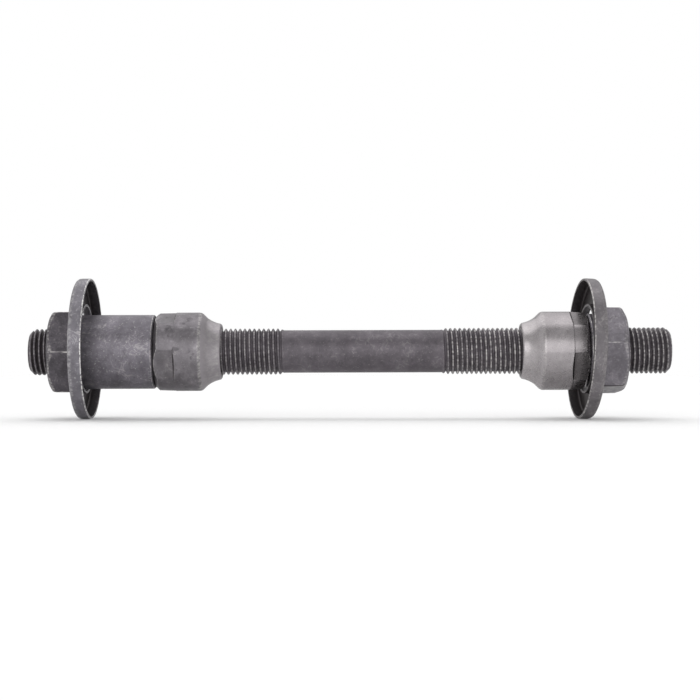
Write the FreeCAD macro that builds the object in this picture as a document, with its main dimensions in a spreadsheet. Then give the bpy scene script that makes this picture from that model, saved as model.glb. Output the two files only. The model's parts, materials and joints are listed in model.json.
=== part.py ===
import FreeCAD, Part
import os

import Sketcher

# A rear bicycle hub axle with its cones, spacers, locknuts and loose dust caps, in millimetres.
# The axle lies along X with the middle of its length at the origin, and +Z is up.
# Every piece is drawn in its own frame with X along its axis, and its placement puts it on the axle.

SIZES = {
    # The axle: a rod threaded from both ends, with a plain shank between and a bore for a skewer.
    "axle_length": 135.0,
    "axle_bore": 5.5,
    "axle_bore_chamfer": 0.4,
    "axle_end_chamfer": 0.9,
    "thread_major": 9.8,
    "thread_runout": 1.0,
    "left_thread_length": 52.9,
    "right_thread_length": 47.5,
    "shank_relief": 0.4,
    # How far the axle stands out of each locknut.
    "left_stub": 4.5,
    "right_stub": 9.5,
    # Radial play of the threaded and the plain holes over the thread.
    "thread_clearance": 0.05,
    "spacer_clearance": 0.15,
    "mouth_chamfer": 0.5,
    # The locknuts.
    "nut_thickness": 5.5,
    "nut_across_flats": 16.8,
    "nut_face_margin": 0.55,
    "nut_chamfer_angle": 30.0,
    "right_nut_roll": 10.5,
    # The spacers.
    "spacer_diameter": 15.65,
    "spacer_edge_chamfer": 0.3,
    "left_spacer_length": 16.4,
    "right_spacer_length": 2.4,
    # The cones, measured from the small end: race, body, then the spanner end with its flats.
    "cone_length": 14.0,
    "cone_tip_face": 0.225,
    "cone_tip_edge": 0.25,
    "cone_end_chamfer": 0.9,
    "race_length": 4.2,
    "race_radius": 6.5,
    "race_corner_radius": 1.2,
    "spanner_step": 0.15,
    "left_spanner_length": 4.25,
    "right_spanner_length": 3.5,
    "flats_across": 15.0,
    "flat_depth": 0.65,
    "flat_shoulder_angle": 27.0,
    "flat_count": 4,
    "left_cone_roll": -20.5,
    "right_cone_roll": 25.5,
    # The dust caps: a drawn cup with a flange turned into it around the middle hole.
    "cap_diameter": 29.7,
    "cap_depth": 2.85,
    "cap_sheet": 0.5,
    "cap_corner_inside": 0.5,
    "cap_clearance": 0.65,
    "cap_flange_height": 1.8,
    "cap_flange_inside": 0.3,
    # How the loose caps sit: almost resting under the axle, the right one clear of its nut and leaning.
    "cap_rest_gap": 0.43,
    "right_cap_gap": 0.9,
    "right_cap_lean": -2.6,
    "right_cap_swing": 3.3,
}

# Places along the axle, worked inwards from its two ends.
LEFT_NUT_OUTER = "(Sizes.left_stub - Sizes.axle_length / 2)"
LEFT_NUT_INNER = f"({LEFT_NUT_OUTER} + Sizes.nut_thickness)"
LEFT_CONE_END = f"({LEFT_NUT_INNER} + Sizes.left_spacer_length)"
LEFT_CONE_TIP = f"({LEFT_CONE_END} + Sizes.cone_length)"
RIGHT_NUT_OUTER = "(Sizes.axle_length / 2 - Sizes.right_stub)"
RIGHT_NUT_INNER = f"({RIGHT_NUT_OUTER} - Sizes.nut_thickness)"
RIGHT_CONE_END = f"({RIGHT_NUT_INNER} - Sizes.right_spacer_length)"
RIGHT_CONE_TIP = f"({RIGHT_CONE_END} - Sizes.cone_length)"
RIGHT_CAP_BACK = f"({RIGHT_NUT_INNER} - Sizes.right_cap_gap)"

# Radii that several pieces share.
THREAD_RADIUS = "(Sizes.thread_major / 2)"
THREADED_HOLE = f"({THREAD_RADIUS} + Sizes.thread_clearance)"
PLAIN_HOLE = f"({THREAD_RADIUS} + Sizes.spacer_clearance)"
SPACER_RADIUS = "(Sizes.spacer_diameter / 2)"
SPANNER_RADIUS = "(Sizes.flats_across / 2 + Sizes.flat_depth)"
CONE_RADIUS = f"({SPANNER_RADIUS} + Sizes.spanner_step)"

# The hole of a dust cap clears everything it is slipped over, and its lower edge hangs just under that.
CAP_HOLE = f"(max({CONE_RADIUS}; {SPACER_RADIUS}) + Sizes.cap_clearance)"
LEFT_CAP_LIFT = f"({CAP_HOLE} - {SPACER_RADIUS} - Sizes.cap_rest_gap)"
RIGHT_CAP_LIFT = f"({CAP_HOLE} - max({SPANNER_RADIUS}; {SPACER_RADIUS}) - Sizes.cap_rest_gap)"

FACING_BACK = "180"
FULL_TURN = 360
HEXAGON_SIDES = 6
LEFT_TURN = "left"
RIGHT_TURN = "right"
MATCH_TOLERANCE = 1e-6

# Sketcher's numbers for a curve's two ends and centre, and for the sketch's own origin and axes.
START, END, CENTRE = range(1, 4)
HORIZONTAL_AXIS, VERTICAL_AXIS = range(-1, -3, -1)


def make_sheet(doc):
    """Put the driving dimensions in a sheet, one row each: its name, and its value under that alias."""
    sheet = doc.addObject("Spreadsheet::Sheet", "Sizes")
    for row, (alias, value) in enumerate(SIZES.items(), start=1):
        sheet.set(f"A{row}", alias)
        sheet.set(f"B{row}", str(value))
        sheet.setAlias(f"B{row}", alias)
    doc.recompute()


def make_body(doc, label):
    """Start an empty sub-part."""
    body = doc.addObject("PartDesign::Body", label)
    body.Label = label
    return body


def place(body, x, z="0", yaw="0", pitch="0", roll="0"):
    """Bind where a sub-part sits along the axle, and how it is turned."""
    body.setExpression("Placement.Base.x", x)
    body.setExpression("Placement.Base.z", z)
    body.setExpression("Placement.Rotation.Yaw", yaw)
    body.setExpression("Placement.Rotation.Pitch", pitch)
    body.setExpression("Placement.Rotation.Roll", roll)


def origin_feature(body, role):
    """Find one of a body's own planes or axes."""
    return next(feature for feature in body.Origin.OriginFeatures if feature.Role == role)


def make_sketch(body, name, plane):
    """Start a sketch on one of the body's origin planes."""
    sketch = body.newObject("Sketcher::SketchObject", name)
    sketch.AttachmentSupport = [(origin_feature(body, plane), "")]
    sketch.MapMode = "FlatFace"
    return sketch


def bind(sketch, constraint, name, expression):
    """Add a dimension to a sketch and drive it from the sheet."""
    index = sketch.addConstraint(constraint)
    sketch.renameConstraint(index, name)
    sketch.setExpression(f"Constraints.{name}", expression)


def arc_between(start, end, radius, turn):
    """The arc from start to end that bends the given way."""
    chord = end - start
    half = chord.Length / 2
    rise = radius - (radius**2 - half**2) ** 0.5
    bulge = FreeCAD.Vector(chord.y, -chord.x, 0).normalize() * rise
    if turn == RIGHT_TURN:
        bulge = -bulge
    return Part.Arc(start, (start + end) / 2 + bulge, end)


def draw_outline(sketch, corners):
    """Draw a closed outline through corners of (x, y) or (x, y, radius, turn).

    With a radius, the edge that leaves the corner is an arc. Every corner is held by its two distances
    from the sketch's origin, and an arc by its radius too, all driven from the sheet.
    """
    points = []
    for corner in corners:
        x, y = (float(sketch.evalExpression(expression)) for expression in corner[:2])
        points.append(FreeCAD.Vector(x, y, 0))

    ends = []
    for index, corner in enumerate(corners):
        start, end = points[index], points[(index + 1) % len(points)]
        if len(corner) == 2:
            edge = sketch.addGeometry(Part.LineSegment(start, end))
            ends.append((edge, START, END))
            continue
        radius, turn = corner[2:]
        edge = sketch.addGeometry(arc_between(start, end, float(sketch.evalExpression(radius)), turn))
        ends.append((edge, START, END) if turn == LEFT_TURN else (edge, END, START))

    for index, (edge, _, last) in enumerate(ends):
        following, following_first, _ = ends[(index + 1) % len(ends)]
        sketch.addConstraint(Sketcher.Constraint("Coincident", edge, last, following, following_first))

    for index, (corner, (edge, first, _)) in enumerate(zip(corners, ends)):
        for kind, axis, expression, value in (
            ("DistanceX", VERTICAL_AXIS, corner[0], points[index].x),
            ("DistanceY", HORIZONTAL_AXIS, corner[1], points[index].y),
        ):
            if expression == "0":
                sketch.addConstraint(Sketcher.Constraint("PointOnObject", edge, first, axis))
            else:
                dimension = Sketcher.Constraint(kind, edge, first, value)
                bind(sketch, dimension, f"corner{index}_{kind[-1].lower()}", expression)
        if len(corner) > 2:
            radius = float(sketch.evalExpression(corner[2]))
            bind(sketch, Sketcher.Constraint("Radius", edge, radius), f"corner{index}_radius", corner[2])


def revolve(body, name, corners, feature_type="PartDesign::Revolution"):
    """Turn an outline about the body's X axis, as solid or, with a groove, as a cut."""
    sketch = make_sketch(body, f"{name}_outline", "XY_Plane")
    draw_outline(sketch, corners)
    feature = body.newObject(feature_type, name)
    feature.Profile = sketch
    feature.ReferenceAxis = (sketch, ["H_Axis"])
    feature.Angle = FULL_TURN
    return feature


def circle_edge_name(shape, x, radius):
    """Name the round edge of that radius that stands at x on the axis."""
    for number, edge in enumerate(shape.Edges, start=1):
        if not isinstance(edge.Curve, Part.Circle):
            continue
        off_place = abs(edge.Curve.Center.x - x)
        off_radius = abs(edge.Curve.Radius - radius)
        if max(off_place, off_radius) < MATCH_TOLERANCE:
            return f"Edge{number}"
    raise ValueError("no such edge on the turned shape")


def make_axle(doc):
    """The rod: two threaded lengths at the thread's outside diameter, a thinner shank, and the bore."""
    body = make_body(doc, "axle")
    shank = f"{THREAD_RADIUS} - Sizes.shank_relief"
    bore = "Sizes.axle_bore / 2"
    bore_mouth = f"{bore} + Sizes.axle_bore_chamfer"
    chamfered_end = f"{THREAD_RADIUS} - Sizes.axle_end_chamfer"
    right_thread_start = "Sizes.axle_length - Sizes.right_thread_length"
    revolve(body, "Rod", [
        ("0", bore_mouth),
        ("Sizes.axle_bore_chamfer", bore),
        ("Sizes.axle_length - Sizes.axle_bore_chamfer", bore),
        ("Sizes.axle_length", bore_mouth),
        ("Sizes.axle_length", chamfered_end),
        ("Sizes.axle_length - Sizes.axle_end_chamfer", THREAD_RADIUS),
        (right_thread_start, THREAD_RADIUS),
        (f"{right_thread_start} - Sizes.thread_runout", shank),
        ("Sizes.left_thread_length + Sizes.thread_runout", shank),
        ("Sizes.left_thread_length", THREAD_RADIUS),
        ("Sizes.axle_end_chamfer", THREAD_RADIUS),
        ("0", chamfered_end),
    ])
    place(body, "-Sizes.axle_length / 2")
    return body


def make_cone(doc, label, x, spanner_length, yaw, roll):
    """A bearing cone: ball race, round body, and a stepped-down end with spanner flats."""
    body = make_body(doc, label)
    hole_mouth = f"({THREADED_HOLE} + Sizes.mouth_chamfer)"
    tip_face = f"({hole_mouth} + Sizes.cone_tip_face)"
    spanner_start = f"(Sizes.cone_length - {spanner_length})"
    turned = revolve(body, "Turned", [
        ("0", hole_mouth),
        ("Sizes.mouth_chamfer", THREADED_HOLE),
        ("Sizes.cone_length - Sizes.mouth_chamfer", THREADED_HOLE),
        ("Sizes.cone_length", hole_mouth),
        ("Sizes.cone_length", f"{SPANNER_RADIUS} - Sizes.cone_end_chamfer"),
        ("Sizes.cone_length - Sizes.cone_end_chamfer", SPANNER_RADIUS),
        (spanner_start, SPANNER_RADIUS),
        (f"{spanner_start} - Sizes.spanner_step", CONE_RADIUS),
        ("Sizes.race_length", CONE_RADIUS, "Sizes.race_radius", RIGHT_TURN),
        ("Sizes.cone_tip_edge", f"{tip_face} + Sizes.cone_tip_edge"),
        ("0", tip_face),
    ])
    doc.recompute()

    race_corner = body.newObject("PartDesign::Fillet", "RaceCorner")
    corner_x = body.evalExpression("Sizes.race_length")
    corner_radius = body.evalExpression(CONE_RADIUS)
    race_corner.Base = (turned, [circle_edge_name(turned.Shape, corner_x, corner_radius)])
    race_corner.setExpression("Radius", "Sizes.race_corner_radius")

    # One flat with a steep shoulder, cut right across, then repeated around the axis.
    flat_height = "Sizes.flats_across / 2"
    cut_top = f"({CONE_RADIUS} + Sizes.flat_depth)"
    sketch = make_sketch(body, "Flat_outline", "XZ_Plane")
    draw_outline(sketch, [
        (spanner_start, flat_height),
        ("Sizes.cone_length", flat_height),
        ("Sizes.cone_length", cut_top),
        (f"{spanner_start} - ({cut_top} - {flat_height}) * tan(Sizes.flat_shoulder_angle)", cut_top),
    ])
    flat = body.newObject("PartDesign::Pocket", "Flat")
    flat.Profile = sketch
    flat.Type = "ThroughAll"
    flat.SideType = "Symmetric"
    doc.recompute()

    flats = body.newObject("PartDesign::PolarPattern", "Flats")
    flats.Originals = [flat]
    flats.Axis = (origin_feature(body, "X_Axis"), [""])
    flats.Angle = FULL_TURN
    flats.setExpression("Occurrences", "Sizes.flat_count")
    body.Tip = flats
    place(body, x, yaw=yaw, roll=roll)
    return body


def make_spacer(doc, label, x, length):
    """A plain ring with broken edges that slips over the thread."""
    body = make_body(doc, label)
    edge = "Sizes.spacer_edge_chamfer"
    revolve(body, "Ring", [
        ("0", f"{PLAIN_HOLE} + {edge}"),
        (edge, PLAIN_HOLE),
        (f"{length} - {edge}", PLAIN_HOLE),
        (length, f"{PLAIN_HOLE} + {edge}"),
        (length, f"{SPACER_RADIUS} - {edge}"),
        (f"{length} - {edge}", SPACER_RADIUS),
        (edge, SPACER_RADIUS),
        ("0", f"{SPACER_RADIUS} - {edge}"),
    ])
    place(body, x)
    return body


def draw_hexagon(sketch, across_corners):
    """Draw a hexagon inside a guide circle, with one corner on the sketch's horizontal axis."""
    radius = float(sketch.evalExpression(across_corners)) / 2
    ray = FreeCAD.Vector(radius, 0, 0)
    spin = FreeCAD.Rotation(FreeCAD.Vector(0, 0, 1), FULL_TURN / HEXAGON_SIDES)
    sides = []
    for _ in range(HEXAGON_SIDES):
        next_ray = spin.multVec(ray)
        sides.append(sketch.addGeometry(Part.LineSegment(ray, next_ray)))
        ray = next_ray

    guide = sketch.addGeometry(Part.Circle(FreeCAD.Vector(), FreeCAD.Vector(0, 0, 1), radius), True)
    sketch.addConstraint(Sketcher.Constraint("Coincident", guide, CENTRE, HORIZONTAL_AXIS, START))
    bind(sketch, Sketcher.Constraint("Diameter", guide, 2 * radius), "across_corners", across_corners)
    for side, following in zip(sides, sides[1:] + sides[:1]):
        sketch.addConstraint(Sketcher.Constraint("Coincident", side, END, following, START))
        sketch.addConstraint(Sketcher.Constraint("PointOnObject", side, START, guide))
    for side in sides[1:]:
        sketch.addConstraint(Sketcher.Constraint("Equal", sides[0], side))
    sketch.addConstraint(Sketcher.Constraint("PointOnObject", sides[0], START, HORIZONTAL_AXIS))


def make_locknut(doc, label, x, yaw="0", roll="0"):
    """A hexagon nut whose outer face, at X 0 in its own frame, is chamfered round."""
    body = make_body(doc, label)
    across_corners = f"(Sizes.nut_across_flats / cos({FULL_TURN / HEXAGON_SIDES / 2}))"
    hexagon = make_sketch(body, "Hexagon", "YZ_Plane")
    draw_hexagon(hexagon, across_corners)
    prism = body.newObject("PartDesign::Pad", "Prism")
    prism.Profile = hexagon
    prism.setExpression("Length", "Sizes.nut_thickness")

    face_radius = "(Sizes.nut_across_flats / 2 - Sizes.nut_face_margin)"
    cut_radius = f"({across_corners} / 2 + Sizes.nut_face_margin)"
    revolve(body, "CornerChamfer", [
        ("0", face_radius),
        (f"({cut_radius} - {face_radius}) * tan(Sizes.nut_chamfer_angle)", cut_radius),
        ("0", cut_radius),
    ], "PartDesign::Groove")

    hole_mouth = f"{THREADED_HOLE} + Sizes.mouth_chamfer"
    revolve(body, "ThreadedHole", [
        ("0", "0"),
        ("Sizes.nut_thickness", "0"),
        ("Sizes.nut_thickness", hole_mouth),
        ("Sizes.nut_thickness - Sizes.mouth_chamfer", THREADED_HOLE),
        ("Sizes.mouth_chamfer", THREADED_HOLE),
        ("0", hole_mouth),
    ], "PartDesign::Groove")
    place(body, x, yaw=yaw, roll=roll)
    return body


def make_dust_cap(doc, label, x, lift, yaw="0", pitch="0"):
    """A drawn cup of even sheet: rim, rounded corner, flat back, and a flange turned in at the hole."""
    body = make_body(doc, label)
    sheet = "Sizes.cap_sheet"
    rim = "Sizes.cap_diameter / 2"
    inside_corner = "Sizes.cap_corner_inside"
    inside_bend = "Sizes.cap_flange_inside"
    corner = f"({inside_corner} + {sheet})"
    bend = f"({inside_bend} + {sheet})"
    revolve(body, "Cup", [
        ("Sizes.cap_depth", rim),
        (corner, rim, corner, LEFT_TURN),
        ("0", f"{rim} - {corner}"),
        ("0", f"{CAP_HOLE} + {bend}", bend, LEFT_TURN),
        (bend, CAP_HOLE),
        ("Sizes.cap_flange_height", CAP_HOLE),
        ("Sizes.cap_flange_height", f"{CAP_HOLE} + {sheet}"),
        (bend, f"{CAP_HOLE} + {sheet}", inside_bend, RIGHT_TURN),
        (sheet, f"{CAP_HOLE} + {bend}"),
        (sheet, f"{rim} - {corner}", inside_corner, RIGHT_TURN),
        (corner, f"{rim} - {sheet}"),
        ("Sizes.cap_depth", f"{rim} - {sheet}"),
    ])
    place(body, x, z=lift, yaw=yaw, pitch=pitch)
    return body


def check(doc, sub_parts):
    """Stop if anything in the document failed to build."""
    failed = [item.Name for item in doc.Objects if {"Invalid", "Error"} & set(item.State)]
    if failed:
        raise RuntimeError(f"failed to build: {failed}")
    for body in sub_parts:
        if body.Shape.isNull() or not body.Shape.isValid():
            raise RuntimeError(f"no valid shape: {body.Label}")


def main():
    doc = FreeCAD.newDocument("HubAxle")
    make_sheet(doc)
    sub_parts = [
        make_axle(doc),
        make_cone(
            doc, "left_cone", LEFT_CONE_TIP, "Sizes.left_spanner_length",
            yaw=FACING_BACK, roll="Sizes.left_cone_roll",
        ),
        make_cone(
            doc, "right_cone", RIGHT_CONE_TIP, "Sizes.right_spanner_length",
            yaw="0", roll="Sizes.right_cone_roll",
        ),
        make_spacer(doc, "left_spacer", LEFT_NUT_INNER, "Sizes.left_spacer_length"),
        make_spacer(doc, "right_spacer", RIGHT_CONE_END, "Sizes.right_spacer_length"),
        make_locknut(doc, "left_locknut", LEFT_NUT_OUTER),
        make_locknut(doc, "right_locknut", RIGHT_NUT_OUTER, FACING_BACK, "Sizes.right_nut_roll"),
        make_dust_cap(doc, "left_dust_cap", LEFT_NUT_INNER, LEFT_CAP_LIFT),
        make_dust_cap(
            doc, "right_dust_cap", RIGHT_CAP_BACK, RIGHT_CAP_LIFT,
            yaw=f"Sizes.right_cap_swing - {FACING_BACK}", pitch="Sizes.right_cap_lean",
        ),
    ]
    doc.recompute()
    check(doc, sub_parts)
    os.makedirs("parts", exist_ok=True)
    for body in sub_parts:
        body.Shape.exportStep(f"parts/{body.Label}.step")
        print(f"{body.Label}: {body.Shape.Volume:.1f} mm3")


main()
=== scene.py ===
import json
import math
from typing import NamedTuple

import bmesh
import bpy
from mathutils import Color, Matrix, Vector


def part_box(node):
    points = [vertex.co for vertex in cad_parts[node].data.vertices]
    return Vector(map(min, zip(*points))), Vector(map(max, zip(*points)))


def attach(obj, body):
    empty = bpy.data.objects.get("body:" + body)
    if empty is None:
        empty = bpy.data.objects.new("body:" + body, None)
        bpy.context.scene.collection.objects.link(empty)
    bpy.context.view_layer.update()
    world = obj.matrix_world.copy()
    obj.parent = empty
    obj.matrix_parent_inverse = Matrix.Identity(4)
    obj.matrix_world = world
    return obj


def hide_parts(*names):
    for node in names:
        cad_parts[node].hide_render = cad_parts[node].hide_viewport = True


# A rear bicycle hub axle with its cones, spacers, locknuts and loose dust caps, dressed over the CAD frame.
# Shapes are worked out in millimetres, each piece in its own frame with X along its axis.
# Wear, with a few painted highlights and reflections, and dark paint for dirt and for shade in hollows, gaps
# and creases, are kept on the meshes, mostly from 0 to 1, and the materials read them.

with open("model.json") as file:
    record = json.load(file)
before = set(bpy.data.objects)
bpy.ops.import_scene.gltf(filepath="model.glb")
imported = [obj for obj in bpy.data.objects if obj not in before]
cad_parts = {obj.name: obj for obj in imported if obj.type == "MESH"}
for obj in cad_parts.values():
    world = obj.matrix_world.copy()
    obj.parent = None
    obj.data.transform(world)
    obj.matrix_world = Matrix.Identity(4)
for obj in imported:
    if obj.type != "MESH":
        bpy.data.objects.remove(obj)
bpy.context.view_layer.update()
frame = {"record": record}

MM = 0.001
FULL_TURN = 2 * math.pi
FACING_BACK = math.pi

# The thread: rolled, right-handed, with rounded crests and roots. The widths are shares of the pitch.
THREAD_PITCH = 1.0
THREAD_DEPTH = 0.61
CREST_WIDTH = 0.28
CREST_DROP = 0.07
ROOT_WIDTH = 0.2
ROOT_RISE = 0.05
LEFT_THREAD_LENGTH = 52.9
RIGHT_THREAD_LENGTH = 47.5
THREAD_RUNOUT = 1.0
THREAD_SEGMENTS = 72

# How far from the shank the thread reaches its full height, and its full wear.
THREAD_FADE = 1.5
WEAR_FADE = 3.0

# The rest of the axle.
SHANK_RELIEF = 0.4
AXLE_END_CHAMFER = 0.9
BORE_CHAMFER = 0.4

# Wear on the thread's crest, its edge and the flank, dirt and painted shade on the flank, and wear on the
# axle's end edges.
CREST_WEAR = 0.7
CREST_EDGE_WEAR = 0.2
FLANK_WEAR = 0.18
FLANK_DIRT_AND_SHADE = 0.5
END_EDGE_WEAR = 0.6

# How dark the root of each stretch of thread is painted, dirt and painted shade together, and how worn its
# crest.
LEFT_STUB_STATE = (1.0, 0.5)
LEFT_THREAD_STATE = (0.05, 0.8)
RIGHT_THREAD_STATE = (0.0, 1.6)
RIGHT_STUB_STATE = (0.4, 1.2)

# Holes over the thread.
THREAD_CLEARANCE = 0.05
SPACER_CLEARANCE = 0.15
MOUTH_CHAMFER = 0.5

# The cones, from the small end.
CONE_TIP_FACE = 0.225
CONE_TIP_EDGE = 0.25
RACE_LENGTH = 4.2
RACE_RADIUS = 6.5
RACE_CORNER_RADIUS = 1.2
RACE_STEPS = 14
ROUNDED_RACE_STEPS = 5
RACE_SHINE = 0.3
# The outer part of the race is painted darker, a painted dark reflection.
RACE_EDGE_DARK_REFLECTION = 0.25
LEFT_SPANNER_LENGTH = 4.25
RIGHT_SPANNER_LENGTH = 3.5
SPANNER_STEP = 0.15
SOFT_STEP = 0.03
CONE_END_CHAMFER = 0.9
LEFT_CONE_ROLL = math.radians(-20.5)
RIGHT_CONE_ROLL = math.radians(25.5)

# The cones' flats. The first faces up before the cone is rolled, and each is painted its own dark reflection;
# their shoulders are painted with shadow.
FLAT_COUNT = 4
FLAT_SPACING = FULL_TURN / FLAT_COUNT
FIRST_FLAT = math.pi / 2
FLAT_DEPTH = 0.65
FLAT_SHOULDER_ANGLE = math.radians(27)
FLAT_EDGE_ANGLE = math.radians(0.7)
FLAT_STEPS = 12
ROUND_STEPS = 14
LEFT_FLAT_DARK_REFLECTION = (0.0, 0.0, 0.0, 0.0)
RIGHT_FLAT_DARK_REFLECTION = (0.0, 0.3, 0.3, 0.3)
LEFT_SHOULDER_SHADOW = 0.3
RIGHT_SHOULDER_SHADOW = 0.55

# The locknuts. The right one's lower side is painted paler, a painted reflection, and the corner above it is
# darkened.
NUT_SIDES = 6
NUT_SIDE_ANGLE = FULL_TURN / NUT_SIDES
NUT_SIDE_STEPS = 14
NUT_FACE_MARGIN = 0.55
NUT_CHAMFER_ANGLE = math.radians(30)
NUT_CORNER_ANGLE = math.radians(1.4)
NUT_CORNER_ROUNDING = 1.2
NUT_BACK_EDGE = 0.15
RIGHT_NUT_ROLL = math.radians(10.5)
PALE_SIDE = math.radians(270)
PALE_SIDE_SHEEN = 0.9
DARK_CORNER = math.radians(300)

# The spacers and dust caps.
SPACER_EDGE = 0.3
CAP_DEPTH = 2.85
CAP_SHEET = 0.5
CAP_LIP_ROUNDING = 0.3
CAP_CORNER_INSIDE = 0.5
CAP_CLEARANCE = 0.65
CAP_FLANGE_HEIGHT = 1.8
CAP_FLANGE_INSIDE = 0.3
CAP_REST_GAP = 0.43
RIGHT_CAP_GAP = 0.9
RIGHT_CAP_LEAN = math.radians(-2.6)
RIGHT_CAP_SWING = math.radians(3.3)

# A painted highlight: the bright stretch at the front of the left cap's lip, and how much of the lip's
# rounding it takes.
GLINT_SIDE = math.radians(181)
GLINT_REACH = math.radians(9)
GLINT_WEAR = 2.2
GLINT_SHARE = 0.6

# Small roundings that catch the light along edges, and the most of a side that one may take.
FINE_EDGE = 0.1
WORN_EDGE = 0.18
LEAST_CUT = 0.03
MOST_OF_SIDE = 0.45
CORNER_STEPS = 4
EDGE_FULLNESS = 1.5
TURNED_SEGMENTS = 160
LARGE_FACE_WEIGHT = 100

# The stage: the floor's radius in metres, where it fades as shares of that, its tone and its glow.
FLOOR_RADIUS = 1.2
FLOOR_FADE = (0.2, 0.6)
FLOOR_SEGMENTS = 128
FLOOR_TONE = 0.85
FLOOR_ROUGHNESS = 0.9
FLOOR_GLOW = 0.12

# How strong the light is all round and overhead, and the heights between which it changes.
SURROUND_STRENGTH = 1.0
OVERHEAD_STRENGTH = 0.6
OVERHEAD_BAND = (0.0, 0.7)
WHITE = (1.0, 1.0, 1.0, 1.0)

# The camera: level, looking along +Y at the middle of the axle, with its distances in millimetres.
CAMERA_DISTANCE = 335.0
CAMERA_LENS = 81.3
CAMERA_HEIGHT = 0.28
CAMERA_NEAREST = 10.0
CAMERA_ROLL = math.radians(-0.16)


def bore_radius():
    """The skewer bore's radius, as the record states it."""
    mounts = frame["record"]["mounts"]
    return next(mount["dims"]["r_mm"] for mount in mounts if mount["name"] == "skewer_bore")


def box(node):
    """A CAD node's lowest and highest corners in millimetres."""
    low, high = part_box(node)
    return low / MM, high / MM


AXLE_LOW, AXLE_HIGH = box("axle")
CONE_LOW, CONE_HIGH = box("left_cone")
_, SPACER_HIGH = box("left_spacer")
NUT_LOW, NUT_HIGH = box("left_locknut")
RIGHT_NUT_LOW, RIGHT_NUT_HIGH = box("right_locknut")
_, CAP_HIGH = box("left_dust_cap")

THREAD_RADIUS = AXLE_HIGH.y
BORE_RADIUS = bore_radius()
THREADED_HOLE = THREAD_RADIUS + THREAD_CLEARANCE
HOLE_MOUTH = THREADED_HOLE + MOUTH_CHAMFER
PLAIN_HOLE = THREAD_RADIUS + SPACER_CLEARANCE
CONE_LENGTH = CONE_HIGH.x - CONE_LOW.x
CONE_RADIUS = CONE_HIGH.y
SPANNER_RADIUS = CONE_RADIUS - SPANNER_STEP
FLAT_HEIGHT = SPANNER_RADIUS - FLAT_DEPTH
SPACER_RADIUS = SPACER_HIGH.y
NUT_THICKNESS = NUT_HIGH.x - NUT_LOW.x
NUT_FLAT_HEIGHT = NUT_HIGH.z
CAP_RADIUS = CAP_HIGH.y
CAP_HOLE = CONE_RADIUS + CAP_CLEARANCE


# Shapes


class Corner(NamedTuple):
    """A corner of a section: its place, how rounded it is, how worn, and how dark with dirt and painted
    shade.
    """

    x: float
    radius: float
    rounding: float
    wear_and_sheen: float = 0.0
    dirt_and_shade: float = 0.0


def rounded_section(corners):
    """Round the corners of a closed section, and give each point as (x, radius, wear with any painted sheen,
    dirt with painted shade).

    The same list of roundings always gives the same number of points, so sections at different angles
    can be joined point to point.
    """
    points = []
    for index, corner in enumerate(corners):
        if corner.rounding == 0:
            points.append((corner.x, corner.radius, corner.wear_and_sheen, corner.dirt_and_shade))
            continue
        here = Vector(corner[:2])
        before = Vector(corners[index - 1][:2]) - here
        after = Vector(corners[(index + 1) % len(corners)][:2]) - here
        half_angle = before.angle(after) / 2
        cut = max(corner.rounding / math.tan(half_angle), LEAST_CUT)
        cut = min(cut, before.length * MOST_OF_SIDE, after.length * MOST_OF_SIDE)
        start = here + before.normalized() * cut
        end = here + after.normalized() * cut
        for step in range(CORNER_STEPS + 1):
            share = step / CORNER_STEPS
            point = start.lerp(here, share).lerp(here.lerp(end, share), share)
            wear_and_sheen_share = corner.wear_and_sheen * min(1.0, EDGE_FULLNESS * math.sin(math.pi * share))
            points.append((point.x, point.y, wear_and_sheen_share, corner.dirt_and_shade))
    return points


def even_angles(count):
    """Angles spread evenly round the axis."""
    return [FULL_TURN * index / count for index in range(count)]


def off_nearest(angle, first, spacing=FULL_TURN):
    """How far an angle is from first, or from the nearest of the angles that follow it at that spacing."""
    return abs((angle - first + spacing / 2) % spacing - spacing / 2)


def smooth_step(low, high, value):
    """Go smoothly from 0 at low to 1 at high."""
    share = min(max((value - low) / (high - low), 0.0), 1.0)
    return share * share * (3 - 2 * share)


def store(mesh, name, values):
    """Keep one number for each vertex under that name, for the materials to read."""
    layer = mesh.attributes.new(name, "FLOAT", "POINT")
    layer.data.foreach_set("value", values)


def finish_mesh(name, points, faces, wear_and_sheen, dirt_and_shade):
    """Make a smooth-shaded object from points in millimetres."""
    mesh = bpy.data.meshes.new(name)
    mesh.from_pydata([Vector(point) * MM for point in points], [], faces)
    store(mesh, "wear_and_sheen", wear_and_sheen)
    store(mesh, "dirt_and_shade", dirt_and_shade)
    shell = bmesh.new()
    shell.from_mesh(mesh)
    bmesh.ops.recalc_face_normals(shell, faces=shell.faces)
    shell.to_mesh(mesh)
    shell.free()
    mesh.shade_smooth()
    piece = bpy.data.objects.new(name, mesh)
    bpy.context.scene.collection.objects.link(piece)
    weighted = piece.modifiers.new("EvenShading", "WEIGHTED_NORMAL")
    weighted.weight = LARGE_FACE_WEIGHT
    return piece


def nowhere(angle, x, radius):
    """No wear, painted sheen, dirt or painted shade beyond what the section gives."""
    return 0.0


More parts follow.
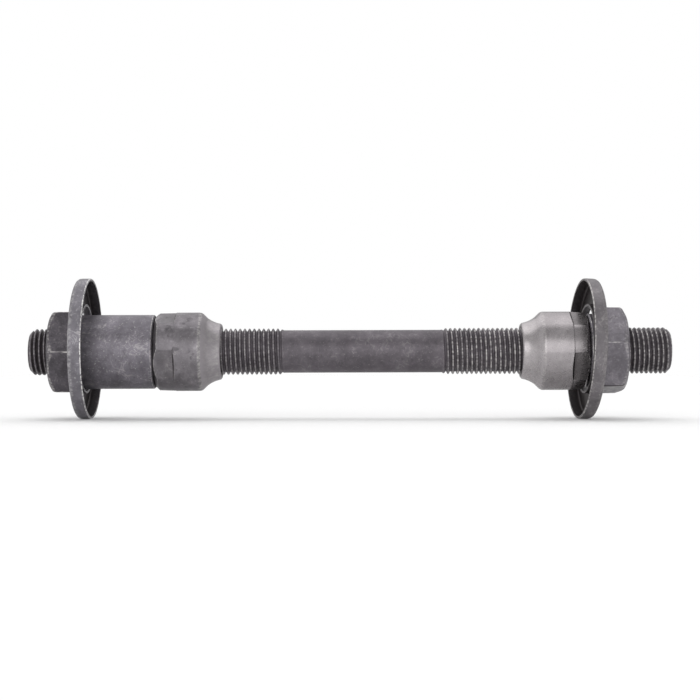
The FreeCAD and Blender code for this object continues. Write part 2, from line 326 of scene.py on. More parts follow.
def turned_piece(name, section_at, angles, more_wear_and_sheen=nowhere, more_dirt_and_shade=nowhere):
    """Join closed sections, one for each angle round the X axis, into one closed skin."""
    sections = [section_at(angle) for angle in angles]
    points, wear_and_sheen, dirt_and_shade = [], [], []
    for angle, section in zip(angles, sections):
        for x, radius, wear_and_sheen_share, section_dirt_and_shade in section:
            points.append((x, radius * math.cos(angle), radius * math.sin(angle)))
            wear_and_sheen.append(max(wear_and_sheen_share, more_wear_and_sheen(angle, x, radius)))
            dirt_and_shade.append(max(section_dirt_and_shade, more_dirt_and_shade(angle, x, radius)))
    count = len(sections[0])
    faces = []
    for row in range(len(angles)):
        next_row = (row + 1) % len(angles)
        for column in range(count):
            next_column = (column + 1) % count
            faces.append((
                row * count + column,
                next_row * count + column,
                next_row * count + next_column,
                row * count + next_column,
            ))
    return finish_mesh(name, points, faces, wear_and_sheen, dirt_and_shade)


# The axle


def thread_profile():
    """One pitch of the thread: share of the pitch, drop below the crest, and the wear and the dirt with
    painted shade of each point.
    """
    crest = CREST_WIDTH / 2
    root = (1 - ROOT_WIDTH) / 2
    flank = [
        (crest, CREST_DROP, CREST_EDGE_WEAR, 0.0),
        ((crest + root) / 2, THREAD_DEPTH / 2, FLANK_WEAR, FLANK_DIRT_AND_SHADE),
        (root, THREAD_DEPTH - ROOT_RISE, 0.0, 1.0),
    ]
    far_flank = [(1 - along, *rest) for along, *rest in reversed(flank)]
    return [(0.0, 0.0, CREST_WEAR, 0.0), *flank, (0.5, THREAD_DEPTH, 0.0, 1.0), *far_flank]


class AxleSkin:
    """Collects the axle's points and faces, ring by ring and helix by helix."""

    def __init__(self):
        self.points = []
        self.faces = []
        self.wear_and_sheen = []
        self.dirt_and_shade = []

    def point(self, x, radius, column, wear_and_sheen=0.0, dirt_and_shade=0.0):
        """Add a point at one of the columns round the axis."""
        angle = FULL_TURN * column / THREAD_SEGMENTS
        self.points.append((x, radius * math.cos(angle), radius * math.sin(angle)))
        self.wear_and_sheen.append(wear_and_sheen)
        self.dirt_and_shade.append(dirt_and_shade)
        return len(self.points) - 1

    def ring(self, x, radius, wear_and_sheen=0.0, dirt_and_shade=0.0):
        """Add a ring of points."""
        return [self.point(x, radius, column, wear_and_sheen, dirt_and_shade) for column in range(THREAD_SEGMENTS)]

    def join(self, rings):
        """Join each ring to the next."""
        for first, second in zip(rings, rings[1:]):
            for column in range(THREAD_SEGMENTS):
                after = (column + 1) % THREAD_SEGMENTS
                self.faces.append((first[column], first[after], second[after], second[column]))

    def thread(self, start_ring, end_ring, start_x, end_x, ends, state):
        """Wind the thread from one ring to another.

        ends limits the thread's radius at x, and state says how dark its root is painted, with dirt and
        painted shade, and how worn it is there.
        """
        profile = thread_profile()
        turns = math.ceil((end_x - start_x) / THREAD_PITCH)
        rows = [(turn, *point) for turn in range(-1, turns + 2) for point in profile]
        grid = []
        for turn, along, drop, wear_and_sheen, dirt_and_shade in rows:
            line = []
            for column in range(THREAD_SEGMENTS):
                x = start_x + (turn + along + column / THREAD_SEGMENTS) * THREAD_PITCH
                if x <= start_x + FINE_EDGE / 2:
                    line.append(start_ring[column])
                elif x >= end_x - FINE_EDGE / 2:
                    line.append(end_ring[column])
                else:
                    radius = ends(x, THREAD_RADIUS - drop)
                    root_dirt_and_shade, rub = state(x)
                    line.append(self.point(x, radius, column, wear_and_sheen * rub, dirt_and_shade * root_dirt_and_shade))
            grid.append(line)

        for row, (line, next_line) in enumerate(zip(grid, grid[1:])):
            for column in range(THREAD_SEGMENTS):
                # The last column meets the first one a whole turn further on.
                if column + 1 < THREAD_SEGMENTS:
                    far_side = [line[column + 1], next_line[column + 1]]
                elif row + len(profile) + 1 < len(grid):
                    wrapped = row + len(profile)
                    far_side = [grid[wrapped][0], grid[wrapped + 1][0]]
                else:
                    continue
                # Points that have fallen together on an end ring count once.
                corners = list(dict.fromkeys([line[column], *far_side, next_line[column]]))
                if len(corners) > 2:
                    self.faces.append(corners)


def make_axle():
    """The rod with its two wound threads, plain shank and bore."""
    shank = THREAD_RADIUS - SHANK_RELIEF
    left_end, right_end = AXLE_LOW.x, AXLE_HIGH.x
    left_thread_end = left_end + LEFT_THREAD_LENGTH + THREAD_RUNOUT
    right_thread_start = right_end - RIGHT_THREAD_LENGTH - THREAD_RUNOUT
    end_radius = THREAD_RADIUS - AXLE_END_CHAMFER

    def from_shank(x):
        """How far x is outside the plain shank."""
        return max(left_thread_end - x, x - right_thread_start)

    def fade(x, radius):
        """Keep the thread under the end chamfers, and let it run out into the shank."""
        from_end = min(x - left_end, right_end - x)
        radius = min(radius, end_radius + from_end)
        return shank + (radius - shank) * smooth_step(0.0, THREAD_FADE, from_shank(x))

    def state(x):
        """Each stretch has its own dirt and painted shade in the root, and its own wear, and the wear fades
        where the thread runs out.
        """
        if x < NUT_LOW.x:
            return LEFT_STUB_STATE
        if x > RIGHT_NUT_HIGH.x:
            return RIGHT_STUB_STATE
        root_dirt_and_shade, rub = LEFT_THREAD_STATE if x < left_thread_end else RIGHT_THREAD_STATE
        return root_dirt_and_shade, rub * smooth_step(0.0, WEAR_FADE, from_shank(x))

    skin = AxleSkin()
    mouth = BORE_RADIUS + BORE_CHAMFER
    left_face = skin.ring(left_end, end_radius, wear_and_sheen=END_EDGE_WEAR)
    left_shank = skin.ring(left_thread_end, shank)
    right_shank = skin.ring(right_thread_start, shank)
    right_face = skin.ring(right_end, end_radius, wear_and_sheen=END_EDGE_WEAR)
    left_mouth = skin.ring(left_end, mouth)
    # The bore is painted dark, painted shade in the hollow.
    left_bore = skin.ring(left_end + BORE_CHAMFER, BORE_RADIUS, dirt_and_shade=1.0)
    right_bore = skin.ring(right_end - BORE_CHAMFER, BORE_RADIUS, dirt_and_shade=1.0)
    right_mouth = skin.ring(right_end, mouth)
    skin.thread(left_face, left_shank, left_end, left_thread_end, fade, state)
    skin.thread(right_shank, right_face, right_thread_start, right_end, fade, state)
    skin.join([left_shank, right_shank])
    skin.join([right_face, right_mouth, right_bore, left_bore, left_mouth, left_face])
    return finish_mesh("threaded_axle", skin.points, skin.faces, skin.wear_and_sheen, skin.dirt_and_shade)


# The cones


def race_points():
    """Points along the ground race, a hollow arc from the cone's body down to the edge of its tip."""
    start = Vector((RACE_LENGTH, CONE_RADIUS))
    end = Vector((CONE_TIP_EDGE, HOLE_MOUTH + CONE_TIP_FACE + CONE_TIP_EDGE))
    chord = end - start
    middle = (start + end) / 2
    outward = Vector((chord.y, -chord.x)).normalized()
    if outward.y < 0:
        outward = -outward
    reach = math.sqrt(RACE_RADIUS**2 - (chord.length / 2) ** 2)
    centre = middle + outward * reach
    start_angle = math.atan2(*(start - centre).yx)
    end_angle = math.atan2(*(end - centre).yx)
    points = []
    for step in range(RACE_STEPS + 1):
        angle = start_angle + (end_angle - start_angle) * step / RACE_STEPS
        points.append(centre + RACE_RADIUS * Vector((math.cos(angle), math.sin(angle))))
    return points


def cone_angles():
    """Angles round a cone, close together where a flat meets the round."""
    edge = math.acos(FLAT_HEIGHT / SPANNER_RADIUS)
    inside = edge - FLAT_EDGE_ANGLE
    outside = edge + FLAT_EDGE_ANGLE
    gap = FLAT_SPACING - 2 * outside
    flat = [(2 * step / FLAT_STEPS - 1) * inside for step in range(FLAT_STEPS)]
    round_part = [outside + gap * step / ROUND_STEPS for step in range(1, ROUND_STEPS)]
    pattern = [*flat, inside, edge, outside, *round_part, FLAT_SPACING - outside, FLAT_SPACING - edge]
    starts = [FIRST_FLAT + FLAT_SPACING * index for index in range(FLAT_COUNT)]
    return [start + angle for start in starts for angle in pattern]


def flat_number(angle):
    """Which flat an angle is nearest to, counted from the first."""
    return round((angle - FIRST_FLAT) / FLAT_SPACING) % FLAT_COUNT


def cone_section(angle, spanner_length, flat_dark_reflection, shoulder_shadow):
    """A cone's section at one angle: race, body, and the end that is flat or round there."""
    spanner_start = CONE_LENGTH - spanner_length
    off_flat = off_nearest(angle, FIRST_FLAT, FLAT_SPACING)
    flat_radius = FLAT_HEIGHT / math.cos(off_flat)
    end_radius = min(SPANNER_RADIUS, flat_radius)
    start_radius = min(CONE_RADIUS - SOFT_STEP, flat_radius)
    shoulder_run = (CONE_RADIUS * math.cos(off_flat) - FLAT_HEIGHT) * math.tan(FLAT_SHOULDER_ANGLE)
    shoulder = spanner_start - max(shoulder_run, SPANNER_STEP)
    chamfer_start = CONE_LENGTH - CONE_END_CHAMFER + (SPANNER_RADIUS - end_radius)
    on_flat = end_radius < SPANNER_RADIUS
    end_dark_reflection = flat_dark_reflection[flat_number(angle)] if on_flat else 0.0
    corner_shadow_and_reflection = end_dark_reflection + shoulder_shadow if on_flat else 0.0
    race = race_points()
    # Dark paint here is painted shade in the hole, at its mouths and on the end chamfer, painted shadow at
    # the flats' shoulders, and painted dark reflection on the flats and the race's outer part.
    corners = [
        Corner(0.0, HOLE_MOUTH, FINE_EDGE, wear_and_sheen=0.3, dirt_and_shade=0.6),
        Corner(MOUTH_CHAMFER, THREADED_HOLE, FINE_EDGE, dirt_and_shade=1.0),
        Corner(CONE_LENGTH - MOUTH_CHAMFER, THREADED_HOLE, FINE_EDGE, dirt_and_shade=1.0),
        Corner(CONE_LENGTH, HOLE_MOUTH, FINE_EDGE, wear_and_sheen=0.3, dirt_and_shade=0.8),
        Corner(CONE_LENGTH, SPANNER_RADIUS - CONE_END_CHAMFER, FINE_EDGE, wear_and_sheen=0.7, dirt_and_shade=0.4),
        Corner(chamfer_start, end_radius, WORN_EDGE, wear_and_sheen=1.0, dirt_and_shade=end_dark_reflection / 2),
        Corner(spanner_start, start_radius, FINE_EDGE, dirt_and_shade=corner_shadow_and_reflection),
        Corner(shoulder, CONE_RADIUS, FINE_EDGE, wear_and_sheen=0.5 if on_flat else 0.0),
        Corner(*race[0], RACE_CORNER_RADIUS, wear_and_sheen=0.35),
    ]
    # The first points of the race are left out, because the rounded corner takes their place.
    for step in range(ROUNDED_RACE_STEPS, RACE_STEPS):
        share = step / RACE_STEPS
        corners.append(Corner(*race[step], 0, wear_and_sheen=RACE_SHINE * share, dirt_and_shade=RACE_EDGE_DARK_REFLECTION * (1 - share)))
    corners += [
        Corner(*race[-1], FINE_EDGE, wear_and_sheen=0.6),
        Corner(0.0, HOLE_MOUTH + CONE_TIP_FACE, FINE_EDGE, wear_and_sheen=0.4, dirt_and_shade=0.2),
    ]
    return rounded_section(corners)


def make_cone(name, spanner_length, flat_dark_reflection, shoulder_shadow):
    """A bearing cone with its small end at X 0."""
    return turned_piece(
        name,
        lambda angle: cone_section(angle, spanner_length, flat_dark_reflection, shoulder_shadow),
        cone_angles())


# The spacers


def make_spacer(name, length):
    """A plain ring with broken edges."""
    # Dark paint in the bore and on the outer chamfers is painted shade, in the hollow and the gaps beside the
    # spacer.
    section = rounded_section([
        Corner(0.0, PLAIN_HOLE + SPACER_EDGE, FINE_EDGE, wear_and_sheen=0.2, dirt_and_shade=0.6),
        Corner(SPACER_EDGE, PLAIN_HOLE, FINE_EDGE, dirt_and_shade=1.0),
        Corner(length - SPACER_EDGE, PLAIN_HOLE, FINE_EDGE, dirt_and_shade=1.0),
        Corner(length, PLAIN_HOLE + SPACER_EDGE, FINE_EDGE, wear_and_sheen=0.2, dirt_and_shade=0.6),
        Corner(length, SPACER_RADIUS - SPACER_EDGE, FINE_EDGE, wear_and_sheen=0.4, dirt_and_shade=0.5),
        Corner(length - SPACER_EDGE, SPACER_RADIUS, WORN_EDGE, wear_and_sheen=1.0),
        Corner(SPACER_EDGE, SPACER_RADIUS, WORN_EDGE, wear_and_sheen=1.0),
        Corner(0.0, SPACER_RADIUS - SPACER_EDGE, FINE_EDGE, wear_and_sheen=0.4, dirt_and_shade=0.5),
    ])
    return turned_piece(name, lambda angle: section, even_angles(TURNED_SEGMENTS))


# The locknuts


def nut_angles():
    """Angles round a nut, close together at its corners."""
    corner = [-NUT_CORNER_ANGLE, -NUT_CORNER_ANGLE / 2, 0.0, NUT_CORNER_ANGLE / 2]
    span = NUT_SIDE_ANGLE - 2 * NUT_CORNER_ANGLE
    side = [NUT_CORNER_ANGLE + span * step / NUT_SIDE_STEPS for step in range(NUT_SIDE_STEPS)]
    return [NUT_SIDE_ANGLE * index + angle for index in range(NUT_SIDES) for angle in (*corner, *side)]


def nut_section(angle):
    """A nut's section at one angle: outer face at X 0 with its round chamfer, side, inner face, hole."""
    off_corner = off_nearest(angle, 0.0, NUT_SIDE_ANGLE)
    share = off_corner / NUT_CORNER_ANGLE
    softened = NUT_CORNER_ANGLE * (1 + share**2) / 2 if share < 1 else off_corner
    side_radius = NUT_FLAT_HEIGHT / math.cos(NUT_SIDE_ANGLE / 2 - softened)
    face_radius = NUT_FLAT_HEIGHT - NUT_FACE_MARGIN
    chamfer_end = (side_radius - face_radius) * math.tan(NUT_CHAMFER_ANGLE)
    # Dark paint in the hole and at its mouths is painted shade.
    return rounded_section([
        Corner(0.0, HOLE_MOUTH, FINE_EDGE, wear_and_sheen=0.3, dirt_and_shade=0.6),
        Corner(0.0, face_radius, WORN_EDGE, wear_and_sheen=0.9),
        Corner(chamfer_end, side_radius, NUT_CORNER_ROUNDING, wear_and_sheen=0.5),
        Corner(NUT_THICKNESS - NUT_BACK_EDGE, side_radius, FINE_EDGE, wear_and_sheen=0.6),
        Corner(NUT_THICKNESS, side_radius - NUT_BACK_EDGE, FINE_EDGE, wear_and_sheen=0.4),
        Corner(NUT_THICKNESS, HOLE_MOUTH, FINE_EDGE, wear_and_sheen=0.2, dirt_and_shade=0.6),
        Corner(NUT_THICKNESS - MOUTH_CHAMFER, THREADED_HOLE, FINE_EDGE, dirt_and_shade=1.0),
        Corner(MOUTH_CHAMFER, THREADED_HOLE, FINE_EDGE, dirt_and_shade=1.0),
    ])


def nut_corner_wear(angle, x, radius):
    """The corners of a nut are rubbed bright by spanners."""
    if radius < NUT_FLAT_HEIGHT:
        return 0.0
    return max(0.0, 1 - off_nearest(angle, 0.0, NUT_SIDE_ANGLE) / NUT_CORNER_ANGLE)


def right_nut_wear_and_sheen(angle, x, radius):
    """The right nut's lower side is painted paler, a painted reflection in a patchy scuffed pattern, and the
    corner above it isn't bright.
    """
    if off_nearest(angle, DARK_CORNER) < NUT_CORNER_ANGLE:
        return 0.0
    if off_nearest(angle, PALE_SIDE) < NUT_SIDE_ANGLE / 2 and radius >= NUT_FLAT_HEIGHT:
        return PALE_SIDE_SHEEN
    return nut_corner_wear(angle, x, radius)


def right_nut_dark_corner(angle, x, radius):
    """The corner above the right nut's lower side is darkened."""
    if radius < NUT_FLAT_HEIGHT:
        return 0.0
    return max(0.0, 1 - off_nearest(angle, DARK_CORNER) / NUT_CORNER_ANGLE)


def make_locknut(name, more_wear_and_sheen=nut_corner_wear, more_dirt_and_shade=nowhere):
    """A hexagon nut with its chamfered outer face at X 0."""
    return turned_piece(name, nut_section, nut_angles(), more_wear_and_sheen, more_dirt_and_shade)


# The dust caps


def lip_glint(angle, x, radius):
    """A painted highlight on the front of the left cap's lip, carried with the wear."""
    on_lip = x > CAP_DEPTH - CAP_LIP_ROUNDING * GLINT_SHARE
    return GLINT_WEAR if on_lip and off_nearest(angle, GLINT_SIDE) < GLINT_REACH else 0.0


def make_dust_cap(name, more_wear_and_sheen=nowhere):
    """A drawn cup with a turned-in flange, its back at X 0 and open towards +X."""
    corner_outside = CAP_CORNER_INSIDE + CAP_SHEET
    flange_outside = CAP_FLANGE_INSIDE + CAP_SHEET
    # Dark paint inside the cup and on its flange is painted shade.
    section = rounded_section([
        Corner(CAP_DEPTH, CAP_RADIUS, CAP_LIP_ROUNDING, wear_and_sheen=1.0),
        Corner(0.0, CAP_RADIUS, corner_outside, wear_and_sheen=0.15),
        Corner(0.0, CAP_HOLE, flange_outside, wear_and_sheen=0.3, dirt_and_shade=0.3),
        Corner(CAP_FLANGE_HEIGHT, CAP_HOLE, FINE_EDGE, wear_and_sheen=0.4, dirt_and_shade=0.4),
        Corner(CAP_FLANGE_HEIGHT, CAP_HOLE + CAP_SHEET, FINE_EDGE, wear_and_sheen=0.4, dirt_and_shade=0.4),
        Corner(CAP_SHEET, CAP_HOLE + CAP_SHEET, CAP_FLANGE_INSIDE, dirt_and_shade=1.0),
        Corner(CAP_SHEET, CAP_RADIUS - CAP_SHEET, CAP_CORNER_INSIDE, dirt_and_shade=1.0),
        Corner(CAP_DEPTH, CAP_RADIUS - CAP_SHEET, FINE_EDGE, wear_and_sheen=1.0, dirt_and_shade=0.6),
    ])
    return turned_piece(name, lambda angle: section, even_angles(TURNED_SEGMENTS), more_wear_and_sheen)


# Materials

SCREEN_WHITE = 255
# The dark tone painted for dirt and for shade in hollows.
SOOT_AND_SHADE = (45, 40, 40)
PALE_STEEL = (205, 203, 198)
STAIN_SHADE = 0.6
RUBBED_SHINE = 0.1
GRAZING_TINT = (0.6, 0.6, 0.6, 1.0)

# The noises; scale is in bumps for each millimetre.
CLOUDS = {"scale": 0.22, "detail": 4.0, "roughness": 0.6}
GRAIN = {"scale": 1.1, "detail": 5.0, "roughness": 0.65, "distortion": 0.4}
SPECKS = {"scale": 2.6, "detail": 4.0, "roughness": 0.7}
SPOTS = {"scale": 0.5, "detail": 3.0, "roughness": 0.6, "distortion": 0.8}
SCUFFS = {"scale": 1.7, "detail": 5.0, "roughness": 0.7}
TURNING = {"scale": 3.0, "detail": 2.0}
CONTOURS = {"scale": 0.45, "detail": 1.0, "distortion": 1.2}
SCUFF_STRETCH = (0.4, 1.0, 1.0)
TURNING_STRETCH = (1.0, 0.04, 0.04)

# The levels of a noise between which each mark comes in. Scratches follow one level of the contours.
MOTTLE_BAND = (0.34, 0.64)
PALE_BAND = (0.52, 0.72)
DARK_BAND = (0.46, 0.3)
SPOT_BAND = (0.58, 0.7)
SPECK_BAND = (0.58, 0.7)
SCUFF_BAND = (0.4, 0.66)
SCRATCH_BAND = (0.5, 0.6)
SCRATCH_LEVEL = 0.5
SCRATCH_WIDTH = 0.03

# How much of the grain shows, the share of the race's length where its tone is full, and how fully the dirt
# and painted shade cover.
GRAIN_SHARE = 0.6
FULL_RACE = 0.9
DIRT_AND_SHADE_COVER = (0.75, 1.0)

# How far the roughness strays, and the height of the surface's relief in millimetres and its two parts.
ROUGHNESS_BELOW = 0.08
ROUGHNESS_ABOVE = 0.12
RELIEF_HEIGHT = 0.05
TURNING_RELIEF = 0.3
GRAIN_RELIEF = 0.7


class Finish(NamedTuple):
    """A steel finish: its tones from 0 to 255, and how strong each kind of mark is.

    The bare tone is that of worn metal, and also of painted highlights and reflections; race is the even tone
    of a cone's ground race.
    """

    tone: tuple
    bare_and_sheen: tuple
    mottle: float
    stains: float
    flecks: float
    scratches: float
    rub: float
    metal: float
    roughness: float
    relief: float
    race: tuple = None


# One finish for each kind of piece, with tones as the photo shows them.
FINISHES = {
    "oxide_axle": Finish(
        (99, 94, 99), (204, 201, 198), mottle=0.08, stains=0.15, flecks=0.2, scratches=0.1,
        rub=1.2, metal=0.7, roughness=0.42, relief=0.2),
    "scuffed_spacer": Finish(
        (117, 113, 120), PALE_STEEL, mottle=0.1, stains=0.25, flecks=0.6, scratches=0.25,
        rub=1.2, metal=0.7, roughness=0.42, relief=0.25),
    "stained_cone": Finish(
        (122, 118, 122), PALE_STEEL, mottle=0.1, stains=0.6, flecks=0.25, scratches=0.2,
        rub=1.4, metal=0.8, roughness=0.34, relief=0.1, race=(152, 147, 151)),
    "satin_cone": Finish(
        (158, 153, 155), (224, 221, 218), mottle=0.04, stains=0.1, flecks=0.1, scratches=0.1,
        rub=0.8, metal=0.92, roughness=0.26, relief=0.06, race=(172, 167, 169)),
    "oxide_nut": Finish(
        (86, 82, 87), (206, 203, 200), mottle=0.12, stains=0.25, flecks=0.2, scratches=0.1,
        rub=1.2, metal=0.6, roughness=0.42, relief=0.25),
    # The right nut's bare tone also paints its paler lower side, a painted reflection.
    "grey_nut": Finish(
        (118, 114, 120), (194, 191, 190), mottle=0.1, stains=0.25, flecks=0.35, scratches=0.2,
        rub=1.0, metal=0.6, roughness=0.42, relief=0.25),
    # The left cap's bare tone and strong rub also serve the painted highlight on its lip.
    "pressed_left_cap": Finish(
        (118, 115, 121), (236, 234, 232), mottle=0.07, stains=0.2, flecks=0.35, scratches=0.2,
        rub=2.2, metal=0.6, roughness=0.42, relief=0.25),
    "pressed_right_cap": Finish(
        (114, 110, 113), (200, 197, 194), mottle=0.07, stains=0.2, flecks=0.35, scratches=0.2,
        rub=1.4, metal=0.6, roughness=0.42, relief=0.25),
}


def linear(tone, factor=1.0):
    """The linear colour that shaders take, for a tone of 0 to 255 lightened or darkened by a factor."""
    shown = Color([min(value * factor, SCREEN_WHITE) / SCREEN_WHITE for value in tone])
    return (*shown.from_srgb_to_scene_linear(), 1.0)


class Nodes:
    """Short ways to add the nodes that the materials and the world share."""

    def __init__(self, tree):
        self.tree = tree

    def add(self, kind, values=None, **settings):
        """Add a node; values maps an input's name or number to a value or to the output that feeds it."""
        made = self.tree.nodes.new(kind)
        for name, value in settings.items():
            setattr(made, name, value)
        for socket, value in (values or {}).items():
            if isinstance(value, bpy.types.NodeSocket):
                self.tree.links.new(value, made.inputs[socket])
            else:
                made.inputs[socket].default_value = value
        return made

    def noise(self, vector, scale, detail, roughness=0.55, distortion=0.0):
        """A noise from 0 to 1; scale is in bumps for each millimetre."""
        values = {
            "Vector": vector, "Scale": scale / MM, "Detail": detail,
            "Roughness": roughness, "Distortion": distortion,
        }
        return self.add("ShaderNodeTexNoise", values).outputs[0]

    def stretched(self, vector, scale):
        """Coordinates scaled differently each way, so that a noise becomes streaks."""
        return self.add("ShaderNodeMapping", {"Vector": vector, "Scale": scale}).outputs[0]

    def band(self, value, low, high):
        """Go smoothly from 0 where value is low to 1 where it is high."""
        values = {"Value": value, "From Min": low, "From Max": high}
        return self.add("ShaderNodeMapRange", values, interpolation_type="SMOOTHSTEP").outputs[0]

    def between(self, share, low, high):
        """A number that goes from low to high with share."""
        return self.add("ShaderNodeMapRange", {"Value": share, "To Min": low, "To Max": high}).outputs[0]

    def times(self, first, second):
        """Multiply two values."""
        return self.add("ShaderNodeMath", {0: first, 1: second}, operation="MULTIPLY").outputs[0]

    def minus(self, first, second):
        """Take one value from another."""
        return self.add("ShaderNodeMath", {0: first, 1: second}, operation="SUBTRACT").outputs[0]

    def plus(self, first, second):
        """Add two values, kept between 0 and 1."""
        made = self.add("ShaderNodeMath", {0: first, 1: second}, operation="ADD", use_clamp=True)
        return made.outputs[0]

    def near(self, value, middle, reach):
        """1 where value is within reach of middle, and 0 elsewhere."""
        made = self.add("ShaderNodeMath", {0: value, 1: middle, 2: reach}, operation="COMPARE")
        return made.outputs[0]

    def mix(self, share, first, second):
        """Blend two colours."""
        return self.add("ShaderNodeMixRGB", {"Fac": share, "Color1": first, "Color2": second}).outputs[0]

    def place(self, system="Object"):
        """Where a point is, in the piece's own metres unless another system is named."""
        return self.add("ShaderNodeTexCoord").outputs[system]

    def part(self, vector, axis):
        """One part of a vector."""
        return self.add("ShaderNodeSeparateXYZ", {0: vector}).outputs[axis]

    def seen(self):
        """1 for what the eye, a reflection or a clear piece shows, and 0 for the light on everything else."""
        path = self.add("ShaderNodeLightPath").outputs
        shown = self.plus(path["Is Camera Ray"], path["Is Glossy Ray"])
        return self.plus(shown, path["Is Transmission Ray"])

    def attribute(self, name):
        """A number kept on the mesh."""
        return self.add("ShaderNodeAttribute", attribute_name=name).outputs["Fac"]


def marked_tone(nodes, place, clouds, grain, finish):
    """The finish's tone with its mottling, stains, flecks, scratches and ground race."""
    tone, bare_and_sheen, mottle = finish.tone, linear(finish.bare_and_sheen), finish.mottle
    mottled = nodes.band(clouds, *MOTTLE_BAND)
    colour = nodes.mix(mottled, linear(tone, 1 - mottle), linear(tone, 1 + mottle))
    pale = nodes.times(nodes.band(grain, *PALE_BAND), GRAIN_SHARE)
    colour = nodes.mix(pale, colour, linear(tone, 1 + 2 * mottle))
    dark = nodes.times(nodes.band(grain, *DARK_BAND), GRAIN_SHARE)
    colour = nodes.mix(dark, colour, linear(tone, 1 - 2 * mottle))
    stained = nodes.times(nodes.band(nodes.noise(place, **SPOTS), *SPOT_BAND), finish.stains)
    colour = nodes.mix(stained, colour, linear(tone, STAIN_SHADE))
    flecked = nodes.times(nodes.band(nodes.noise(place, **SPECKS), *SPECK_BAND), finish.flecks)
    colour = nodes.mix(flecked, colour, bare_and_sheen)
    lines = nodes.near(nodes.noise(place, **CONTOURS), SCRATCH_LEVEL, SCRATCH_WIDTH)
    scratched = nodes.times(nodes.times(lines, nodes.band(clouds, *SCRATCH_BAND)), finish.scratches)
    colour = nodes.mix(scratched, colour, bare_and_sheen)
    if finish.race:
        ground = nodes.band(nodes.part(place, "X"), RACE_LENGTH * MM, FULL_RACE * RACE_LENGTH * MM)
        colour = nodes.mix(ground, colour, linear(finish.race))
    return colour


def steel(name, finish):
    """A steel material: the marked tone, bare where it is worn or painted with a highlight, darkened in the
    hollows with dirt and painted shade, and fine relief.
    """
    material = bpy.data.materials.new(name)
    material.use_nodes = True
    tree = material.node_tree
    nodes = Nodes(tree)
    shader = tree.nodes["Principled BSDF"]
    place = nodes.place()
    clouds = nodes.noise(place, **CLOUDS)
    grain = nodes.noise(place, **GRAIN)

    scuffs = nodes.noise(nodes.stretched(place, SCUFF_STRETCH), **SCUFFS)
    wear_and_sheen_share = nodes.times(nodes.attribute("wear_and_sheen"), nodes.band(scuffs, *SCUFF_BAND))
    rubbed_and_sheen = nodes.times(wear_and_sheen_share, finish.rub)
    dirt_and_shade_share = nodes.times(nodes.attribute("dirt_and_shade"), nodes.between(clouds, *DIRT_AND_SHADE_COVER))
    colour = marked_tone(nodes, place, clouds, grain, finish)
    colour = nodes.mix(rubbed_and_sheen, colour, linear(finish.bare_and_sheen))
    colour = nodes.mix(dirt_and_shade_share, colour, linear(SOOT_AND_SHADE))
    tree.links.new(colour, shader.inputs["Base Color"])
    shader.inputs["Metallic"].default_value = finish.metal
    shader.inputs["Specular Tint"].default_value = GRAZING_TINT

    rough = nodes.between(grain, finish.roughness - ROUGHNESS_BELOW, finish.roughness + ROUGHNESS_ABOVE)
    rough = nodes.minus(rough, nodes.times(rubbed_and_sheen, RUBBED_SHINE))
    tree.links.new(rough, shader.inputs["Roughness"])

    turning = nodes.noise(nodes.stretched(place, TURNING_STRETCH), **TURNING)
    height = nodes.plus(nodes.times(turning, TURNING_RELIEF), nodes.times(grain, GRAIN_RELIEF))
    relief = {"Height": height, "Strength": finish.relief, "Distance": RELIEF_HEIGHT * MM}
    tree.links.new(nodes.add("ShaderNodeBump", relief).outputs[0], shader.inputs["Normal"])
    return material


# The whole set


def put(piece, node, material, x, z=0.0, yaw=0.0, pitch=0.0, roll=0.0):
    """Set a piece in its place instead of its CAD node, riding on the body of the same name."""
    turn = Matrix.Rotation(yaw, 4, "Z") @ Matrix.Rotation(pitch, 4, "Y") @ Matrix.Rotation(roll, 4, "X")
    piece.matrix_world = Matrix.Translation((x * MM, 0.0, z * MM)) @ turn
    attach(piece, node)
    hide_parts(node)
    piece.data.materials.append(material)


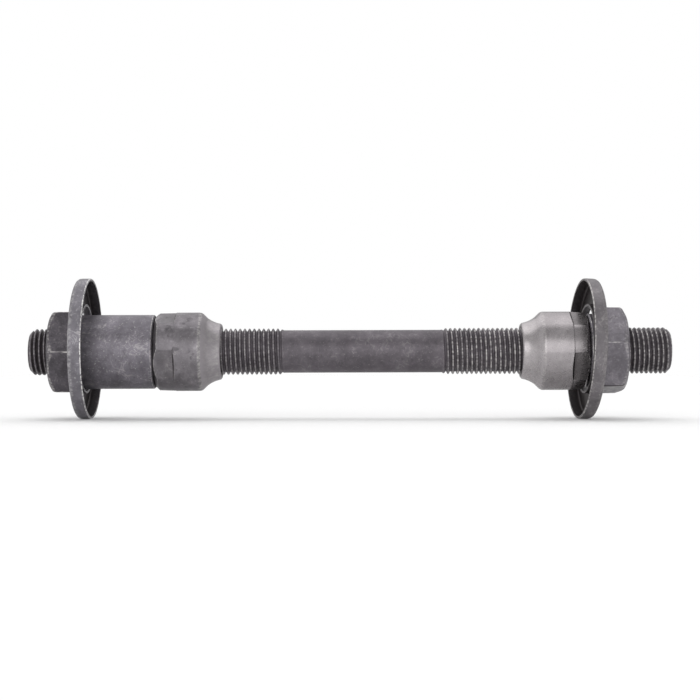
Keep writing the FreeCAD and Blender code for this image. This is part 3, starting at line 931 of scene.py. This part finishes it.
def dress():
    """Make every piece and put it in place of its CAD node, with its material."""
    materials = {name: steel(name, finish) for name, finish in FINISHES.items()}
    left_spacer_low, left_spacer_high = box("left_spacer")
    right_spacer_low, right_spacer_high = box("right_spacer")
    right_cone_low, _ = box("right_cone")

    put(make_axle(), "axle", materials["oxide_axle"], 0.0)

    left_cone = make_cone("ground_left_cone", LEFT_SPANNER_LENGTH, LEFT_FLAT_DARK_REFLECTION, LEFT_SHOULDER_SHADOW)
    put(
        left_cone, "left_cone", materials["stained_cone"], CONE_HIGH.x,
        yaw=FACING_BACK, roll=LEFT_CONE_ROLL)
    right_cone = make_cone("ground_right_cone", RIGHT_SPANNER_LENGTH, RIGHT_FLAT_DARK_REFLECTION, RIGHT_SHOULDER_SHADOW)
    put(
        right_cone, "right_cone", materials["satin_cone"], right_cone_low.x,
        roll=RIGHT_CONE_ROLL)

    left_spacer = make_spacer("scuffed_left_spacer", left_spacer_high.x - left_spacer_low.x)
    put(left_spacer, "left_spacer", materials["scuffed_spacer"], left_spacer_low.x)
    right_spacer = make_spacer("scuffed_right_spacer", right_spacer_high.x - right_spacer_low.x)
    put(right_spacer, "right_spacer", materials["scuffed_spacer"], right_spacer_low.x)

    left_nut = make_locknut("worn_left_locknut")
    put(left_nut, "left_locknut", materials["oxide_nut"], NUT_LOW.x)
    right_nut = make_locknut("worn_right_locknut", right_nut_wear_and_sheen, right_nut_dark_corner)
    put(
        right_nut, "right_locknut", materials["grey_nut"], RIGHT_NUT_HIGH.x,
        yaw=FACING_BACK, roll=RIGHT_NUT_ROLL)

    left_cap = make_dust_cap("drawn_left_cap", lip_glint)
    put(
        left_cap, "left_dust_cap", materials["pressed_left_cap"], NUT_HIGH.x,
        z=CAP_HOLE - SPACER_RADIUS - CAP_REST_GAP)
    right_cap = make_dust_cap("drawn_right_cap")
    put(
        right_cap, "right_dust_cap", materials["pressed_right_cap"],
        RIGHT_NUT_LOW.x - RIGHT_CAP_GAP, z=CAP_HOLE - max(SPANNER_RADIUS, SPACER_RADIUS) - CAP_REST_GAP,
        yaw=RIGHT_CAP_SWING - FACING_BACK, pitch=RIGHT_CAP_LEAN)


# The stage


def floor_material():
    """A pale floor that fades out towards its edge, and glows a little to the eye and in reflections."""
    material = bpy.data.materials.new("pale_floor")
    material.use_nodes = True
    tree = material.node_tree
    nodes = Nodes(tree)
    shader = tree.nodes["Principled BSDF"]
    shader.inputs["Base Color"].default_value = (FLOOR_TONE, FLOOR_TONE, FLOOR_TONE, 1.0)
    shader.inputs["Roughness"].default_value = FLOOR_ROUGHNESS
    shader.inputs["Specular IOR Level"].default_value = 0.0
    shader.inputs["Emission Color"].default_value = WHITE
    tree.links.new(nodes.times(nodes.seen(), FLOOR_GLOW), shader.inputs["Emission Strength"])
    distance = nodes.add("ShaderNodeVectorMath", {0: nodes.place()}, operation="LENGTH").outputs["Value"]
    fade = nodes.band(distance, *(share * FLOOR_RADIUS for share in FLOOR_FADE))
    clear = nodes.add("ShaderNodeBsdfTransparent").outputs[0]
    surface = nodes.add("ShaderNodeMixShader", {0: fade, 1: shader.outputs[0], 2: clear}).outputs[0]
    tree.links.new(surface, tree.nodes["Material Output"].inputs["Surface"])
    return material


def make_floor():
    """A floor under the caps, sloped to meet the low corner of each one's box."""
    left_low, _ = box("left_dust_cap")
    right_low, _ = box("right_dust_cap")
    run = right_low.x - left_low.x
    slope = math.atan2(right_low.z - left_low.z, run)
    bpy.ops.mesh.primitive_circle_add(vertices=FLOOR_SEGMENTS, radius=FLOOR_RADIUS, fill_type="NGON")
    floor = bpy.context.object
    floor.name = "floor"
    floor.location = ((left_low.x + run / 2) * MM, 0.0, (left_low.z + right_low.z) / 2 * MM)
    floor.rotation_euler = (0.0, -slope, 0.0)
    floor.data.materials.append(floor_material())


def make_world():
    """White all round, greyer overhead, and white to the eye whichever way it looks."""
    world = bpy.data.worlds.new("studio")
    bpy.context.scene.world = world
    world.use_nodes = True
    tree = world.node_tree
    nodes = Nodes(tree)
    overhead = nodes.band(nodes.part(nodes.place("Generated"), "Z"), *OVERHEAD_BAND)
    surround = nodes.between(overhead, SURROUND_STRENGTH, OVERHEAD_STRENGTH)
    camera_ray = nodes.add("ShaderNodeLightPath").outputs["Is Camera Ray"]
    background = tree.nodes["Background"]
    background.inputs["Color"].default_value = WHITE
    tree.links.new(nodes.plus(surround, camera_ray), background.inputs["Strength"])


def make_lamp(name, towards, strength, spread):
    """A broad, even lamp far away, standing in the given direction from the axle; spread is in degrees."""
    data = bpy.data.lights.new(name, "SUN")
    data.energy = strength
    data.angle = math.radians(spread)
    lamp = bpy.data.objects.new(name, data)
    lamp.location = Vector(towards).normalized()
    lamp.rotation_euler = Vector(towards).to_track_quat("Z", "Y").to_euler()
    bpy.context.scene.collection.objects.link(lamp)


def make_camera():
    """Close to the photo's own view: level, square to the axle, from a third of a metre."""
    data = bpy.data.cameras.new("camera")
    data.lens = CAMERA_LENS
    data.clip_start = CAMERA_NEAREST * MM
    camera = bpy.data.objects.new("camera", data)
    camera.location = (0.0, -CAMERA_DISTANCE * MM, CAMERA_HEIGHT * MM)
    camera.rotation_euler = (math.pi / 2, 0.0, 0.0)
    camera.rotation_euler.rotate_axis("Z", CAMERA_ROLL)
    bpy.context.scene.collection.objects.link(camera)
    bpy.context.scene.camera = camera


dress()
make_floor()
make_world()
make_lamp("top_lamp", towards=(-0.1, 0.45, 1.0), strength=1.25, spread=80)
make_lamp("front_lamp", towards=(-0.2, -1.0, 0.25), strength=0.5, spread=50)
make_camera()
bpy.context.scene.view_settings.view_transform = "Standard"
